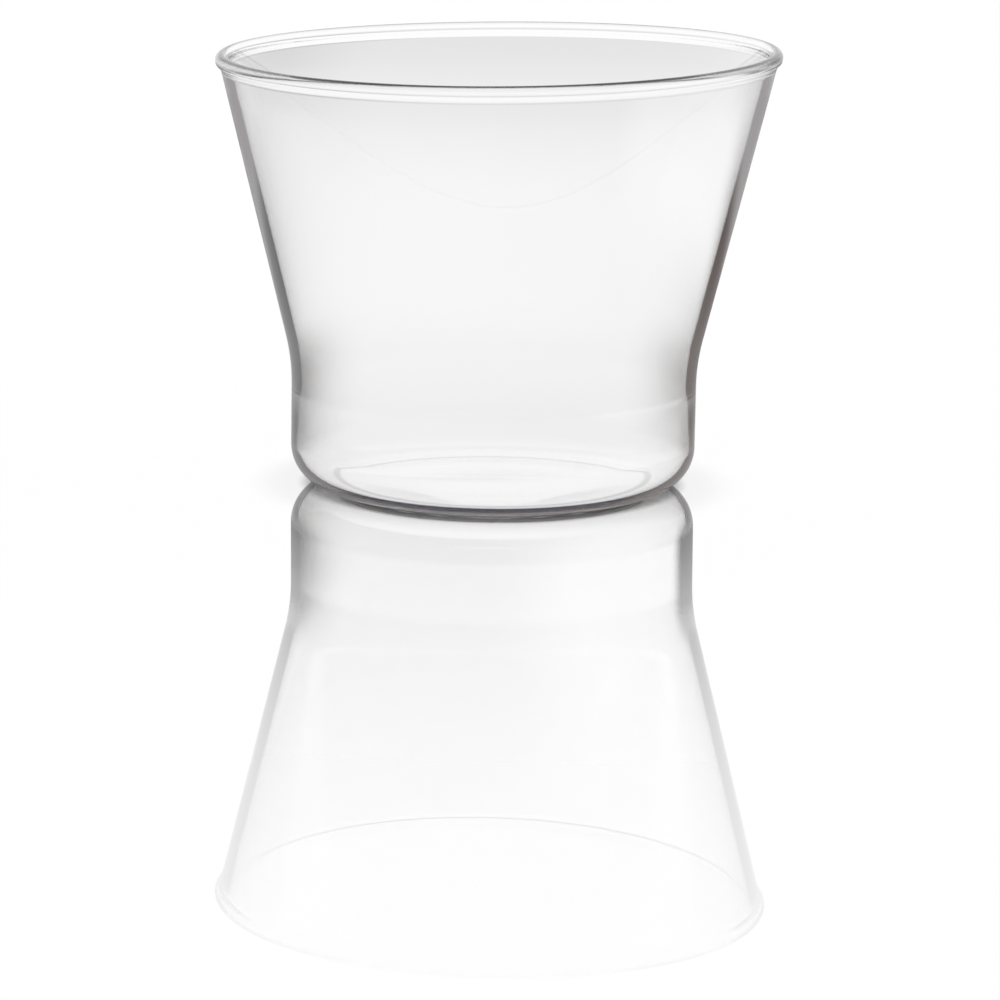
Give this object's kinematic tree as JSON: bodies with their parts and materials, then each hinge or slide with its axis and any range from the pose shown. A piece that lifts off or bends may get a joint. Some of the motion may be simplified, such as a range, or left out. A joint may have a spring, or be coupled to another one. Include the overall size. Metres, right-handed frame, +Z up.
{
  "type": "glass cup",
  "caption": "Clear blown-glass tea cup: flat foot, upright lower band, soft waist, straight flared wall and a rounded bead at the rim.",
  "frame": {"origin": "middle of the foot, on the surface that the cup stands on", "axes": "+Z up along the cup's axis, from the foot to the rim; the cup is the same all round, so X and Y are any two level directions, with the picture taken from -Y"},
  "size_m": [0.0948, 0.0948, 0.0733],
  "materials": {
    "clear_glass": "clear, fire-polished"
  },
  "bodies": {
    "root": {"base_disc": "clear_glass", "heel_ring": "clear_glass", "lower_band": "clear_glass", "waist_ring": "clear_glass", "flared_wall": "clear_glass", "rim_bead": "clear_glass"}
  },
  "joints": []
}
